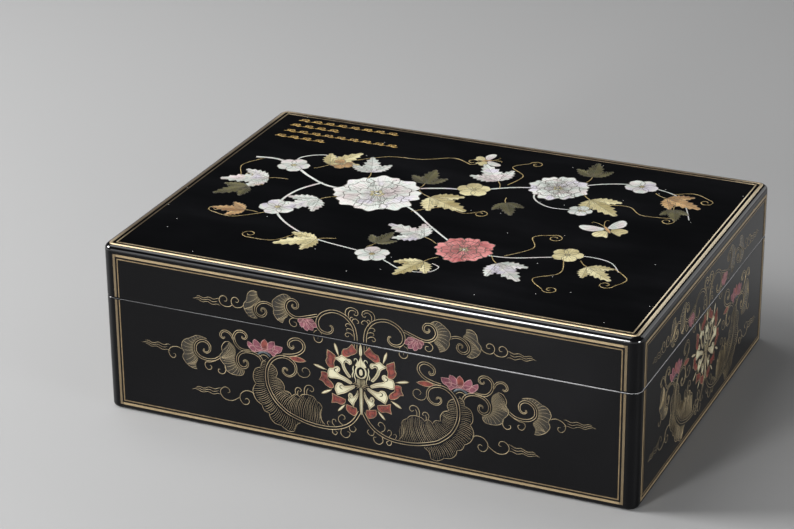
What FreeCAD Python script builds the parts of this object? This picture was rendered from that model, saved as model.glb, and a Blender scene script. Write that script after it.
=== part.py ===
import FreeCAD, Part
import math
import os

# A lacquered games case: a lid lifts off a base, and inside stand a shallow counters tray
# and four tile drawers that lift out one after another.
# X runs along the long front, Y goes from front to back, Z is up.
# The origin is the middle of the underside. All sizes are millimetres.

# Outside of the case
case_width = 350.0
case_depth = 255.0
bottom_thickness = 7.0
base_wall_height = 70.0
lid_wall_height = 27.0
lid_top_thickness = 7.5
wall_thickness = 9.0
corner_radius = 6.8
foot_edge_radius = 2.6
top_edge_radius = 3.2
base_rim_radius = 1.2
lid_rim_radius = 0.7

# Liner strips that stand inside the base and centre the lid
lip_thickness = 4.0
lip_rise = 8.0
lip_gap = 0.4
lip_edge_radius = 1.0

# Felt sheets in the base, in the lid and in each drawer
case_felt_thickness = 1.0
drawer_felt_thickness = 0.8

# Tile drawers, in layers, side by side
LAYERS = ("lower", "upper")
COLUMNS = ("left", "right")
drawer_board = 3.5
drawer_floor = 3.0
drawer_gap = 1.0
notch_radius = 12.0

# Counters tray on top of the drawers
tray_height = 26.0
tray_board = 3.5
tray_floor = 3.0
tray_headroom = 13.0
dice_bay_depth = 58.0
stick_bays = 5
divider_thickness = 3.0
divider_drop = 4.0

# Gold border lines, raised a little from the lacquer
gold_relief = 0.15
side_thick_line = 1.5
side_thin_line = 0.7
top_thick_line = 1.9
top_thin_line = 0.8
side_line_gap = 1.2
side_border_inset = 8.0
side_border_foot = 3.5
side_border_drop = 5.0
top_line_gap = 2.0
top_border_inset = 3.0

# Inlay in the four sides and in the lid, raised like the gold
inlay_relief = 0.15
medallion_radius = 24.0
medallion_petals = 10
medallion_seam_gap = 1.0
medallion_petal_length = 14.0
medallion_petal_width = 9.0

# The flower spray in the lid: sizes, and places as shares of the half field
picture_margin = 22.0
large_blossom_radius = 29.0
middle_blossom_radius = 20.0
small_blossom_radius = 11.0
petal_overlap = 1.15
leaf_length = 24.0
leaf_width = 11.0
LARGE_BLOSSOMS = ((-0.34, 0.12),)
MIDDLE_BLOSSOMS = ((0.34, 0.62), (0.22, -0.46))
SMALL_BLOSSOMS = ((-0.80, 0.34), (-0.66, -0.30), (0.02, 0.40), (0.66, 0.84), (0.62, -0.30), (-0.10, -0.72))
LEAVES = ((-0.66, 0.46, 70), (-0.60, 0.10, 200), (-0.42, -0.24, 250), (-0.06, 0.08, -20),
          (0.12, 0.66, 140), (0.56, 0.50, -40), (0.44, 0.86, 80), (0.82, 0.70, -30),
          (0.00, -0.40, 150), (0.12, -0.74, 250), (0.42, -0.56, -35), (0.78, -0.44, -30),
          (-0.86, -0.10, 215), (-0.30, -0.66, 215))

# Heights and spans that follow from the sizes above
seam_height = bottom_thickness + base_wall_height
lid_underside = seam_height + lid_wall_height
case_height = lid_underside + lid_top_thickness
lid_wall_thickness = wall_thickness - lip_gap
floor_height = bottom_thickness + case_felt_thickness
room_width = case_width - 2 * (wall_thickness + lip_thickness)
room_depth = case_depth - 2 * (wall_thickness + lip_thickness)
room_top = lid_underside - case_felt_thickness
drawer_width = (room_width - (len(COLUMNS) + 1) * drawer_gap) / len(COLUMNS)
drawer_depth = room_depth - 2 * drawer_gap
stack_height = room_top - floor_height - tray_headroom
drawer_height = (stack_height - tray_height) / len(LAYERS)
tray_base = floor_height + len(LAYERS) * drawer_height
tray_width = room_width - 2 * drawer_gap
SIDES = ("front", "right", "back", "left")

# How far a cutting tool runs past what it cuts, and how close two heights count as one
PAST = 1.0
TOUCH = 1e-6

os.makedirs("parts", exist_ok=True)


def save(name, shape):
    """Write one sub-part to its own STEP file."""
    shape.exportStep("parts/" + name + ".step")


def block(width, depth, low, high, x=0.0, y=0.0):
    """A box centred on (x, y), from height low to height high."""
    corner = FreeCAD.Vector(x - width / 2, y - depth / 2, low)
    return Part.makeBox(width, depth, high - low, corner)


def edges_at(shape, test):
    """The edges whose every vertex and middle passes the test."""
    found = []
    for edge in shape.Edges:
        middle = edge.valueAt((edge.FirstParameter + edge.LastParameter) / 2)
        points = [vertex.Point for vertex in edge.Vertexes] + [middle]
        if all(test(point) for point in points):
            found.append(edge)
    return found


def is_upright(edge):
    """True for a straight edge that stands along Z."""
    span = edge.Vertexes[-1].Point - edge.Vertexes[0].Point
    return abs(span.z) > TOUCH and math.hypot(span.x, span.y) < TOUCH


def rounded_block(width, depth, low, high, radius):
    """A box centred on Z whose four upright edges are rounded."""
    solid = block(width, depth, low, high)
    return solid.makeFillet(radius, [edge for edge in solid.Edges if is_upright(edge)])


def round_level(shape, level, radius, outside=0.0):
    """Round the edges that lie at one height, outside the given distance from the middle."""
    def on_rim(point):
        beyond = max(abs(point.x) - case_width / 2, abs(point.y) - case_depth / 2)
        return abs(point.z - level) < TOUCH and beyond > -outside
    return shape.makeFillet(radius, edges_at(shape, on_rim))


def side_wedge(side, reach, low, high):
    """The room that one side's board takes between its two mitres, up to reach inwards."""
    half_run, half_span = case_width / 2, case_depth / 2
    if side in ("left", "right"):
        half_run, half_span = half_span, half_run
    outline = [(-half_run - PAST, -half_span - PAST), (half_run + PAST, -half_span - PAST),
               (half_run - reach, -half_span + reach), (-half_run + reach, -half_span + reach)]
    points = [FreeCAD.Vector(x, y, low) for x, y in outline]
    wedge = Part.Face(Part.makePolygon(points + points[:1])).extrude(FreeCAD.Vector(0, 0, high - low))
    wedge.rotate(FreeCAD.Vector(), FreeCAD.Vector(0, 0, 1), 90 * SIDES.index(side))
    return wedge


def wall_ring(thickness, low, high):
    """The four mitred boards of a storey, still in one ring."""
    outer = rounded_block(case_width, case_depth, low, high, corner_radius)
    inner = block(case_width - 2 * thickness, case_depth - 2 * thickness, low - PAST, high + PAST)
    return outer.cut(inner)


def save_walls(prefix, ring, thickness, low, high):
    """Cut a ring at its mitres and save the four boards."""
    for side in SIDES:
        board = ring.common(side_wedge(side, thickness + PAST, low, high))
        save(prefix + "_" + side + "_wall", board)


def place_on_side(shape, side):
    """Move a shape drawn on the plane XZ, facing -Y, onto one side of the case."""
    out = case_width if side in ("left", "right") else case_depth
    shape.translate(FreeCAD.Vector(0, -out / 2, 0))
    shape.rotate(FreeCAD.Vector(), FreeCAD.Vector(0, 0, 1), 90 * SIDES.index(side))
    return shape


# The base: a bottom board and four mitred walls
bottom = rounded_block(case_width, case_depth, 0, bottom_thickness, corner_radius)
save("base_bottom", round_level(bottom, 0, foot_edge_radius, PAST + corner_radius))
base_ring = wall_ring(wall_thickness, bottom_thickness, seam_height)
base_ring = round_level(base_ring, seam_height, base_rim_radius, corner_radius / 2)
save_walls("base", base_ring, wall_thickness, bottom_thickness, seam_height)

# The liner strips: long ones at front and back, short ones between them
lip_top = seam_height + lip_rise


def save_lip(side, width, depth, x, y):
    """One liner strip with a softened upper edge."""
    strip = block(width, depth, bottom_thickness, lip_top, x, y)
    upper = edges_at(strip, lambda point: abs(point.z - lip_top) < TOUCH)
    save("lip_" + side, strip.makeFillet(lip_edge_radius, upper))


lip_run = case_width - 2 * wall_thickness
lip_y = case_depth / 2 - wall_thickness - lip_thickness / 2
lip_x = case_width / 2 - wall_thickness - lip_thickness / 2
save_lip("front", lip_run, lip_thickness, 0, -lip_y)
save_lip("back", lip_run, lip_thickness, 0, lip_y)
save_lip("left", lip_thickness, room_depth, -lip_x, 0)
save_lip("right", lip_thickness, room_depth, lip_x, 0)
save("base_felt", block(room_width, room_depth, bottom_thickness, floor_height))

# The lid: four mitred walls under a top board, with felt inside
lid_ring = wall_ring(lid_wall_thickness, seam_height, lid_underside)
lid_ring = round_level(lid_ring, seam_height, lid_rim_radius, corner_radius / 2)
save_walls("lid", lid_ring, lid_wall_thickness, seam_height, lid_underside)
lid_top = rounded_block(case_width, case_depth, lid_underside, case_height, corner_radius)
save("lid_top", round_level(lid_top, case_height, top_edge_radius, PAST + corner_radius))
lid_room_width = case_width - 2 * lid_wall_thickness
lid_room_depth = case_depth - 2 * lid_wall_thickness
save("lid_felt", block(lid_room_width, lid_room_depth, room_top, lid_underside))


# Drawers: a floor board, two long side boards and two notched end boards between them
def save_drawer(name, width, height, board, floor, low, x):
    """Save the boards and the felt of one drawer whose floor starts at height low."""
    top = low + height
    side_x = (width - board) / 2
    end_y = (drawer_depth - board) / 2
    inner_width = width - 2 * board
    inner_depth = drawer_depth - 2 * board
    save(name + "_floor", block(width, drawer_depth, low, low + floor, x))
    for side, sign in (("left", -1), ("right", 1)):
        board_x = x + sign * side_x
        save(name + "_" + side + "_wall", block(board, drawer_depth, low + floor, top, board_x))
    for side, sign in (("front", -1), ("back", 1)):
        end = block(inner_width, board, low + floor, top, x, sign * end_y)
        start = FreeCAD.Vector(x, sign * end_y - board, top)
        notch = Part.makeCylinder(notch_radius, 2 * board, start, FreeCAD.Vector(0, 1, 0))
        save(name + "_" + side + "_wall", end.cut(notch))
    felt_top = low + floor + drawer_felt_thickness
    save(name + "_felt", block(inner_width, inner_depth, low + floor, felt_top, x))


for layer, layer_name in enumerate(LAYERS):
    for column, column_name in enumerate(COLUMNS):
        drawer_x = (column - (len(COLUMNS) - 1) / 2) * (drawer_width + drawer_gap)
        drawer_low = floor_height + layer * drawer_height
        drawer_name = layer_name + "_" + column_name + "_drawer"
        save_drawer(drawer_name, drawer_width, drawer_height, drawer_board, drawer_floor,
                    drawer_low, drawer_x)

# The counters tray: a wider drawer with a dice bay in front and stick bays behind it
save_drawer("counters_tray", tray_width, tray_height, tray_board, tray_floor, tray_base, 0)
divider_low = tray_base + tray_floor + drawer_felt_thickness
divider_high = tray_base + tray_height - divider_drop
tray_inner_width = tray_width - 2 * tray_board
tray_inner_depth = drawer_depth - 2 * tray_board
long_y = -tray_inner_depth / 2 + dice_bay_depth + divider_thickness / 2
save("counters_tray_long_divider",
     block(tray_inner_width, divider_thickness, divider_low, divider_high, 0, long_y))
stick_bay_depth = tray_inner_depth - dice_bay_depth - divider_thickness
stick_bay_pitch = (tray_inner_width + divider_thickness) / stick_bays
cross_y = tray_inner_depth / 2 - stick_bay_depth / 2
for number in range(1, stick_bays):
    cross_x = (number - stick_bays / 2) * stick_bay_pitch
    save("counters_tray_cross_divider_" + str(number),
         block(divider_thickness, stick_bay_depth, divider_low, divider_high, cross_x, cross_y))


# Gold borders: a thick line outside a thin one, on each side and on the lid's top
def line_frame(width, low, high, line):
    """A rectangular line of gold on the plane XZ, facing -Y."""
    outer = Part.makeBox(width, gold_relief, high - low, FreeCAD.Vector(-width / 2, -gold_relief, low))
    hole_corner = FreeCAD.Vector(-width / 2 + line, -gold_relief - PAST, low + line)
    hole = Part.makeBox(width - 2 * line, gold_relief + 2 * PAST, high - low - 2 * line, hole_corner)
    return outer.cut(hole)


def side_border(side, low, high):
    """Both lines of one side's border, kept between two heights."""
    run = case_depth if side in ("left", "right") else case_width
    lines = []
    inset = 0.0
    for line in (side_thick_line, side_thin_line):
        width = run - 2 * (side_border_inset + inset)
        foot = side_border_foot + inset
        head = case_height - side_border_drop - inset
        keep = block(run, run, low, high)
        lines.append(place_on_side(line_frame(width, foot, head, line).common(keep), side))
        inset = side_thick_line + side_line_gap
    return lines


def top_line(inset, line):
    """One line of the lid's border, with corners that follow the case's corners."""
    rings = []
    for step, low, high in ((inset, 0, gold_relief), (inset + line, -PAST, gold_relief + PAST)):
        radius = max(corner_radius - step, top_thin_line / 2)
        rings.append(rounded_block(case_width - 2 * step, case_depth - 2 * step,
                                   case_height + low, case_height + high, radius))
    return rings[0].cut(rings[1])


base_lines = []
lid_lines = []
for side in SIDES:
    base_lines += side_border(side, 0, seam_height - base_rim_radius)
    lid_lines += side_border(side, seam_height + lid_rim_radius, case_height)
save("base_gold_border", Part.makeCompound(base_lines))
save("lid_gold_border", Part.makeCompound(lid_lines))
thin_inset = top_border_inset + top_thick_line + top_line_gap
save("lid_top_border", Part.makeCompound([top_line(top_border_inset, top_thick_line),
                                          top_line(thin_inset, top_thin_line)]))


# Inlay: a lotus medallion in each side of the base, and a flower spray in the lid
def oval(length, width):
    """A flat oval plate that starts at the origin and runs along +X."""
    ends = [FreeCAD.Vector(length, 0, 0), FreeCAD.Vector(length / 2, width / 2, 0)]
    if width > length:
        ends.reverse()
    ring = Part.Ellipse(ends[0], ends[1], FreeCAD.Vector(length / 2, 0, 0))
    return Part.Face(Part.Wire(ring.toShape())).extrude(FreeCAD.Vector(0, 0, inlay_relief))


def rosette(radius, petals, length, width):
    """A flat flower: oval petals round a disc, joined in one plate."""
    disc_radius = radius - length / 2
    plate = Part.makeCylinder(disc_radius, inlay_relief)
    blades = []
    for number in range(petals):
        petal = oval(length, width)
        petal.translate(FreeCAD.Vector(radius - length, 0, 0))
        petal.rotate(FreeCAD.Vector(), FreeCAD.Vector(0, 0, 1), 360.0 * number / petals)
        blades.append(petal)
    return plate.multiFuse(blades)


medallions = []
medallion_height = seam_height - base_rim_radius - medallion_seam_gap - medallion_radius
for side in SIDES:
    medallion = rosette(medallion_radius, medallion_petals, medallion_petal_length,
                        medallion_petal_width)
    medallion.rotate(FreeCAD.Vector(), FreeCAD.Vector(1, 0, 0), 90)
    medallion.translate(FreeCAD.Vector(0, 0, medallion_height))
    medallions.append(place_on_side(medallion, side))
save("base_medallions", Part.makeCompound(medallions))


def blossom(radius, petals):
    """A rosette whose petals just overlap each other at their widest."""
    petal_width = petal_overlap * math.pi * radius / petals
    return rosette(radius, petals, radius / 2, petal_width)


def placed(plate, across, along, turn=0.0):
    """Lay a plate on the lid, at shares of the picture's half width and half depth."""
    x = across * (case_width / 2 - picture_margin)
    y = along * (case_depth / 2 - picture_margin)
    plate.rotate(FreeCAD.Vector(), FreeCAD.Vector(0, 0, 1), turn)
    plate.translate(FreeCAD.Vector(x, y, case_height))
    return plate


plates = [placed(blossom(large_blossom_radius, 9), *place) for place in LARGE_BLOSSOMS]
plates += [placed(blossom(middle_blossom_radius, 8), *place) for place in MIDDLE_BLOSSOMS]
plates += [placed(blossom(small_blossom_radius, 5), *place) for place in SMALL_BLOSSOMS]
plates += [placed(oval(leaf_length, leaf_width), *place) for place in LEAVES]
save("lid_picture_inlay", plates[0].multiFuse(plates[1:]))
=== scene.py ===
import math
import random

import bmesh
import bpy
from mathutils import Matrix, Vector


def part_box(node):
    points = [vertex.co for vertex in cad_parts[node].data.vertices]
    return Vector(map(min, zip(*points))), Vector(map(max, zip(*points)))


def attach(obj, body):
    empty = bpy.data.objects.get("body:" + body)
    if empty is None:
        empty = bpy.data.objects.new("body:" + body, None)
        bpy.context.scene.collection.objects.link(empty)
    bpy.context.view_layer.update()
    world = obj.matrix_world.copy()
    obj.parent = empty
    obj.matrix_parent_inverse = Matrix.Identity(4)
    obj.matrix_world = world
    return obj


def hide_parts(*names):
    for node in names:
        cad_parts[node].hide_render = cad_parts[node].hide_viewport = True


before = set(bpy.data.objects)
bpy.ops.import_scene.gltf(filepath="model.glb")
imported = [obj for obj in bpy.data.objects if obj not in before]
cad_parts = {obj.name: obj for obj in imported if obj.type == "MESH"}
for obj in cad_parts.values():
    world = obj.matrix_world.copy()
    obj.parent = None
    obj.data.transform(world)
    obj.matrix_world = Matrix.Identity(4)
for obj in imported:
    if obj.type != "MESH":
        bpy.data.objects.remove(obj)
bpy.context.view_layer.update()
MM = 0.001

# ---------------------------------------------------------------------------
# Studio: a pale table that runs on into a pale wall, a key lamp at the left and a
# broad soft one overhead. Low lamps in front, at the right and behind draw the
# light along the edges.
# ---------------------------------------------------------------------------
eye = Vector((595.6, -1408.3, 758.3)) * MM
azimuth, elevation, roll = math.radians(24.04), math.radians(24.05), math.radians(-0.51)
back = Vector((math.sin(azimuth) * math.cos(elevation),
               -math.cos(azimuth) * math.cos(elevation), math.sin(elevation)))
level = Vector((0, 0, 1)).cross(back).normalized()
rise = back.cross(level)
across = math.cos(roll) * level + math.sin(roll) * rise
upward = math.cos(roll) * rise - math.sin(roll) * level
bpy.ops.object.camera_add()
camera = bpy.context.object
camera.data.lens = 119.44
camera.data.clip_end = 60
camera.matrix_world = Matrix((across, upward, back)).transposed().to_4x4()
camera.location = eye
bpy.context.scene.camera = camera


def lamp(name, place, aim, width, depth, watts):
    """A soft rectangular lamp at one place, turned to face another."""
    bpy.ops.object.light_add(type="AREA", location=place)
    light = bpy.context.object
    light.name = name
    light.data.shape = "RECTANGLE"
    light.data.size = width
    light.data.size_y = depth
    light.data.energy = watts
    light.rotation_mode = "QUATERNION"
    light.rotation_quaternion = (Vector(place) - Vector(aim)).to_track_quat("Z", "Y")


lamp("key_lamp", (-1.85, -0.6, 1.05), (0, 0, 0), 0.8, 0.8, 62)
lamp("overhead_lamp", (-0.75, 0.15, 1.75), (0, 0, 0), 1.3, 1.2, 12)
lamp("front_lamp", (-0.6, -2.1, 0.5), (0, 0, 0.1), 1.2, 0.9, 6)
lamp("strip_lamp", (-0.52, -1.85, 0.42), (0, 0, 0.1), 0.3, 0.8, 24)
lamp("right_lamp", (1.9, -0.6, 0.2), (0, 0, 0.06), 0.7, 0.3, 26)
lamp("corner_lamp", (0.9, 1.7, 1.0), (0, 0, 0.1), 1.0, 1.5, 4.5)

world = bpy.data.worlds.new("studio")
bpy.context.scene.world = world
world.use_nodes = True
world.node_tree.nodes["Background"].inputs["Color"].default_value = (0.9, 0.95, 1, 1)
world.node_tree.nodes["Background"].inputs["Strength"].default_value = 0.04


class Value:
    """A shader socket that takes part in sums: each operator adds its Math node."""

    def __init__(self, finish, socket):
        self.finish = finish
        self.socket = socket

    def math(self, operation, first, second=0.0):
        """The result of one Math node."""
        return self.finish.add("Math", {"operation": operation}, {0: first, 1: second})

    def __add__(self, other):
        return self.math("ADD", self, other)

    def __radd__(self, other):
        return self.math("ADD", other, self)

    def __sub__(self, other):
        return self.math("SUBTRACT", self, other)

    def __rsub__(self, other):
        return self.math("SUBTRACT", other, self)

    def __mul__(self, other):
        return self.math("MULTIPLY", self, other)

    def __rmul__(self, other):
        return self.math("MULTIPLY", other, self)

    def __truediv__(self, other):
        return self.math("DIVIDE", self, other)

    def __pow__(self, other):
        return self.math("POWER", self, other)

    def __abs__(self):
        return self.math("ABSOLUTE", self)

    def over(self, edge):
        """One where the value is above the edge, else nothing."""
        return self.math("GREATER_THAN", self, edge)

    def at_least(self, floor):
        """The value, or the floor where that is larger."""
        return self.math("MAXIMUM", self, floor)

    def at_most(self, ceiling):
        """The value, or the ceiling where that is smaller."""
        return self.math("MINIMUM", self, ceiling)


class Finish:
    """A material, built node by node onto one Principled shader."""

    def __init__(self, name):
        self.material = bpy.data.materials.new(name)
        self.material.use_nodes = True
        self.tree = self.material.node_tree
        self.shader = self.tree.nodes["Principled BSDF"]

    def add(self, kind, settings=None, inputs=None, output=0):
        """Add a node, set it up, feed its sockets, and give back one of its outputs."""
        node = self.tree.nodes.new("ShaderNode" + kind)
        for name, value in (settings or {}).items():
            if name == "stops":
                self.set_stops(node.color_ramp, value)
            else:
                setattr(node, name, value)
        for name, value in (inputs or {}).items():
            self.feed(node.inputs[name], value)
        return Value(self, node.outputs[output])

    def set_stops(self, ramp, stops):
        """Give a colour ramp its stops, each a place and a colour."""
        while len(ramp.elements) < len(stops):
            ramp.elements.new(0.5)
        for element, (place, colour) in zip(ramp.elements, stops):
            element.position = place
            element.color = (*colour, 1)

    def feed(self, socket, value):
        """Link a Value to a socket, or set a plain number or colour on it."""
        if isinstance(value, Value):
            self.tree.links.new(value.socket, socket)
        elif isinstance(value, tuple) and len(value) == 3 and socket.type == "RGBA":
            socket.default_value = (*value, 1)
        else:
            socket.default_value = value

    def set(self, **inputs):
        """Feed the Principled shader's own sockets; an underscore stands for a space."""
        for name, value in inputs.items():
            self.feed(self.shader.inputs[name.replace("_", " ")], value)

    def place(self):
        """The place on the piece, on its own coordinates."""
        return self.add("TexCoord", output="Object")

    def parts(self, vector):
        """The three parts of a vector."""
        split = self.add("SeparateXYZ", None, {0: vector})
        return [Value(self, socket) for socket in split.socket.node.outputs]

    def noise(self, scale, detail=2.0, stretch=(1, 1, 1)):
        """Cloudy noise over the piece, so many clouds to the metre."""
        mapped = self.add("Mapping", None, {"Vector": self.place(), "Scale": stretch})
        return self.add("TexNoise", None, {"Vector": mapped, "Scale": scale, "Detail": detail})

    def mix(self, share, first, second):
        """A colour between two colours."""
        return self.add("Mix", {"data_type": "RGBA"}, {0: share, 6: first, 7: second}, 2)

    def bump(self, height, strength, distance):
        """A bumped normal."""
        return self.add("Bump", None, {"Height": height, "Strength": strength, "Distance": distance})


class Backdrop(Finish):
    """The world round the table, built node by node as a finish is."""

    def __init__(self, world):
        self.tree = world.node_tree


def seen(finish):
    """One for a ray that carries a picture: straight, in a gloss or through a glass."""
    camera_ray, glossy, through = [finish.add("LightPath", output="Is %s Ray" % kind)
                                   for kind in ("Camera", "Glossy", "Transmission")]
    return (camera_ray + glossy + through).at_most(1)


wall_colour = (0.40, 0.40, 0.41)
table_fades_from = 0.85
backdrop = Backdrop(world)
climb = backdrop.parts(backdrop.add("TexCoord", output="Generated"))[2]
near_table = (1.7 - 5 * climb).at_most(1).at_least(0)
pale_wall = backdrop.add("Background", None, {"Color": wall_colour})
room = Value(backdrop, world.node_tree.nodes["Background"].outputs[0])
blend = backdrop.add("MixShader", None, {0: near_table * seen(backdrop), 1: room, 2: pale_wall})
backdrop.feed(world.node_tree.nodes["World Output"].inputs["Surface"], blend)

table_top = Finish("table_top")
x, y, _ = table_top.parts(table_top.place())
far = (1.2 * ((x * x + y * y) ** 0.5 - table_fades_from)).at_most(1).at_least(0)
table_top.set(Base_Color=table_top.mix(far, (0.42, 0.42, 0.42), (0, 0, 0)), Roughness=0.6,
              Emission_Color=table_top.mix(far * seen(table_top), (0, 0, 0), wall_colour),
              Emission_Strength=1)
bpy.ops.mesh.primitive_plane_add(size=40)
floor = bpy.context.object
floor.name = "floor"
floor.data.materials.append(table_top.material)

# ---------------------------------------------------------------------------
# Base: a bottom board and four mitred boards of fir, lacquered over as one black
# shell. The upright corners, the foot edge and the rim are rubbed round.
# ---------------------------------------------------------------------------
case_low, case_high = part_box("base_bottom")
front_low, front_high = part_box("base_front_wall")
seam = front_high.z
cavity_floor = case_high.z
wall = front_high.y - front_low.y
corner_radius = 6.8 * MM
foot_radius = 2.6 * MM
base_rim_radius = 1.2 * MM
# Heights of the band under the seam where a pale highlight is painted on the base rim.
seam_highlight_band = (seam - 0.62 * MM, seam - 0.42 * MM)
dusty_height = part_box("lid_top")[1].z - 0.05 * MM
specks_per_metre = 60
speck_radius = 0.018
NEAR = 0.01 * MM


def add_block(name, low, high):
    """A box between two corners, alone in the selection, with its place in its mesh."""
    bpy.ops.object.select_all(action="DESELECT")
    middle = (Vector(low) + Vector(high)) / 2
    bpy.ops.mesh.primitive_cube_add(size=1, location=middle, scale=Vector(high) - Vector(low))
    bpy.ops.object.transform_apply(location=True, rotation=True, scale=True)
    piece = bpy.context.object
    piece.name = name
    return piece


def round_edges(piece, radius, segments, test):
    """Bevel the edges whose two ends both pass the test."""
    bpy.context.view_layer.objects.active = piece
    bpy.ops.object.mode_set(mode="EDIT")
    bpy.ops.mesh.select_mode(type="EDGE")
    bpy.ops.mesh.select_all(action="DESELECT")
    mesh = bmesh.from_edit_mesh(piece.data)
    for edge in mesh.edges:
        start, end = (vertex.co for vertex in edge.verts)
        edge.select_set(test(start, end))
    bmesh.update_edit_mesh(piece.data)
    bpy.ops.mesh.bevel(offset=radius, segments=segments, affect="EDGES")
    bpy.ops.object.mode_set(mode="OBJECT")


def is_upright(start, end):
    """True for an edge that stands along Z."""
    return (start - end).xy.length < NEAR and abs(start.z - end.z) > NEAR


def at_height(height):
    """A test for edges that lie at one height."""
    return lambda start, end: abs(start.z - height) < NEAR and abs(end.z - height) < NEAR


def hollow(piece, low, high):
    """Cut a square-cornered cavity out of a piece."""
    cutter = add_block("cutter", low, high)
    bpy.ops.object.select_all(action="DESELECT")
    bpy.context.view_layer.objects.active = piece
    piece.select_set(True)
    bpy.ops.object.modifier_add(type="BOOLEAN")
    piece.modifiers[0].object = cutter
    bpy.ops.object.modifier_apply(modifier=piece.modifiers[0].name)
    bpy.data.objects.remove(cutter)


def polish(piece):
    """Smooth the rounded edges and keep the flat faces flat."""
    bpy.ops.object.select_all(action="DESELECT")
    bpy.context.view_layer.objects.active = piece
    piece.select_set(True)
    bpy.ops.object.shade_smooth_by_angle(angle=math.radians(40))
    bpy.ops.object.modifier_add(type="WEIGHTED_NORMAL")
    piece.modifiers[0].keep_sharp = True
    bpy.ops.object.modifier_apply(modifier=piece.modifiers[0].name)


def black_lacquer(name, gloss):
    """Black lacquer with a haze of smears, painted thinner to the left and on the ends as
    painted shade, a few specks of dust on the lid, and a pale band painted along the base
    rim as a highlight, strongest at the right."""
    lacquer = Finish(name)
    place = lacquer.place()
    x, _, height = lacquer.parts(place)
    clouds = lacquer.noise(22, 3)
    smears = lacquer.noise(9, 4, (1, 3, 1))
    cell = lacquer.add("TexVoronoi", {"voronoi_dimensions": "2D"},
                       {"Vector": place, "Scale": specks_per_metre})
    luck = lacquer.parts(Value(lacquer, cell.socket.node.outputs["Color"]))[0]
    dust = (1 - cell.over(speck_radius)) * luck.over(0.84) * height.over(dusty_height)
    waviness = lacquer.noise(28, 1)
    # Painted light: the haze of smears and the seam highlight grow brighter toward the right.
    painted_light_rightward = x * (0.5 / case_high.x) + 0.5
    # Painted shade: the haze is kept thin on the ends, so that the short sides read darker.
    painted_shade_on_ends = abs(x).over(case_high.x - 0.5 * MM)
    haze = smears ** 3.0 * clouds * (0.6 + 0.8 * painted_light_rightward) * (1 - 0.8 * painted_shade_on_ends)
    black = lacquer.mix(2.2 * haze, (0.0008, 0.0008, 0.0011), (0.012, 0.012, 0.014))
    # Painted highlight: a pale band just under the seam stands in for the gleam on the rounded base
    # rim, and it is made much stronger toward the right.
    painted_light_share = height.over(seam_highlight_band[0]) * (1 - height.over(seam_highlight_band[1]))
    painted_light_share = painted_light_share * lacquer.noise(9, 4) ** 2.0 * (0.7 + 3.2 * painted_light_rightward)
    black = lacquer.mix(painted_light_share, black, (0.42, 0.42, 0.43))
    lacquer.set(Base_Color=lacquer.mix(dust, black, (0.8, 0.8, 0.78)),
                Roughness=0.035 + 0.09 * smears ** 2.0 + 0.3 * dust,
                Normal=lacquer.bump(waviness, 0.12, 0.4 * MM))
    lacquer.shader.inputs["IOR"].default_value = gloss
    return lacquer


lacquer = black_lacquer("black_lacquer", 1.27)
edge_lacquer = black_lacquer("edge_lacquer", 1.6)

base_shell = add_block("base_case", case_low, (case_high.x, case_high.y, seam))
round_edges(base_shell, corner_radius, 12, is_upright)
round_edges(base_shell, foot_radius, 6, at_height(0))
round_edges(base_shell, base_rim_radius, 4, at_height(seam))
hollow(base_shell, (case_low.x + wall, case_low.y + wall, cavity_floor),
       (case_high.x - wall, case_high.y - wall, seam + wall))
polish(base_shell)
base_shell.data.materials.append(lacquer.material)
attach(base_shell, "base")
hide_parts("base_bottom", "base_front_wall", "base_back_wall",
            "base_left_wall", "base_right_wall")

# ---------------------------------------------------------------------------
# Lid: a top board on four mitred boards, lacquered over as one black shell like the
# base. It lifts off. Its top edge is rounded and polished to a higher gloss.
# ---------------------------------------------------------------------------
lid_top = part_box("lid_top")[1].z
lid_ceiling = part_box("lid_top")[0].z
lid_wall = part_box("lid_front_wall")[1].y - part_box("lid_front_wall")[0].y
top_edge_radius = 3.2 * MM
lid_rim_radius = 0.7 * MM

lid_shell = add_block("lid_case", (case_low.x, case_low.y, seam), (case_high.x, case_high.y, lid_top))
round_edges(lid_shell, corner_radius, 12, is_upright)
round_edges(lid_shell, top_edge_radius, 6, at_height(lid_top))
round_edges(lid_shell, lid_rim_radius, 3, at_height(seam))
hollow(lid_shell, (case_low.x + lid_wall, case_low.y + lid_wall, seam - wall),
       (case_high.x - lid_wall, case_high.y - lid_wall, lid_ceiling))
polish(lid_shell)
lid_shell.data.materials.append(lacquer.material)
lid_shell.data.materials.append(edge_lacquer.material)
for face in lid_shell.data.polygons:
    if lid_top - top_edge_radius < face.center.z < lid_top - NEAR:
        face.material_index = 1
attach(lid_shell, "lid")
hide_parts("lid_top", "lid_front_wall", "lid_back_wall", "lid_left_wall", "lid_right_wall")

# ---------------------------------------------------------------------------
# Liner strips: four thin strips that are glued to the inside of the base's walls
# and stand up past the seam to centre the lid, in the same black lacquer.
# ---------------------------------------------------------------------------


def repaint(finish, *nodes):
    """Give CAD nodes a finish of their own."""
    for name in nodes:
        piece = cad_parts[name]
        for index in range(len(piece.material_slots)):
            piece.material_slots[index].material = finish.material


for side in ("front", "back", "left", "right"):
    repaint(lacquer, "lip_" + side)

# ---------------------------------------------------------------------------
# Gold borders: a thick and a thin gold line round each side of lid and base, and
# round the lid's top. The thin side lines are dull, and so are the upright ones on the
# long sides. On top the gold is darkened along the left and the back as painted shade,
# and made brighter and less metallic along the right as a painted highlight.
# ---------------------------------------------------------------------------
long_side_from = case_high.y - 1 * MM
handled_within = 10.5 * MM
border_from_corner = 8 * MM
thin_line_within = 2.1 * MM
edge_rounding_within = 4.9 * MM
painted_light_fades_over = 25 * MM

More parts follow.
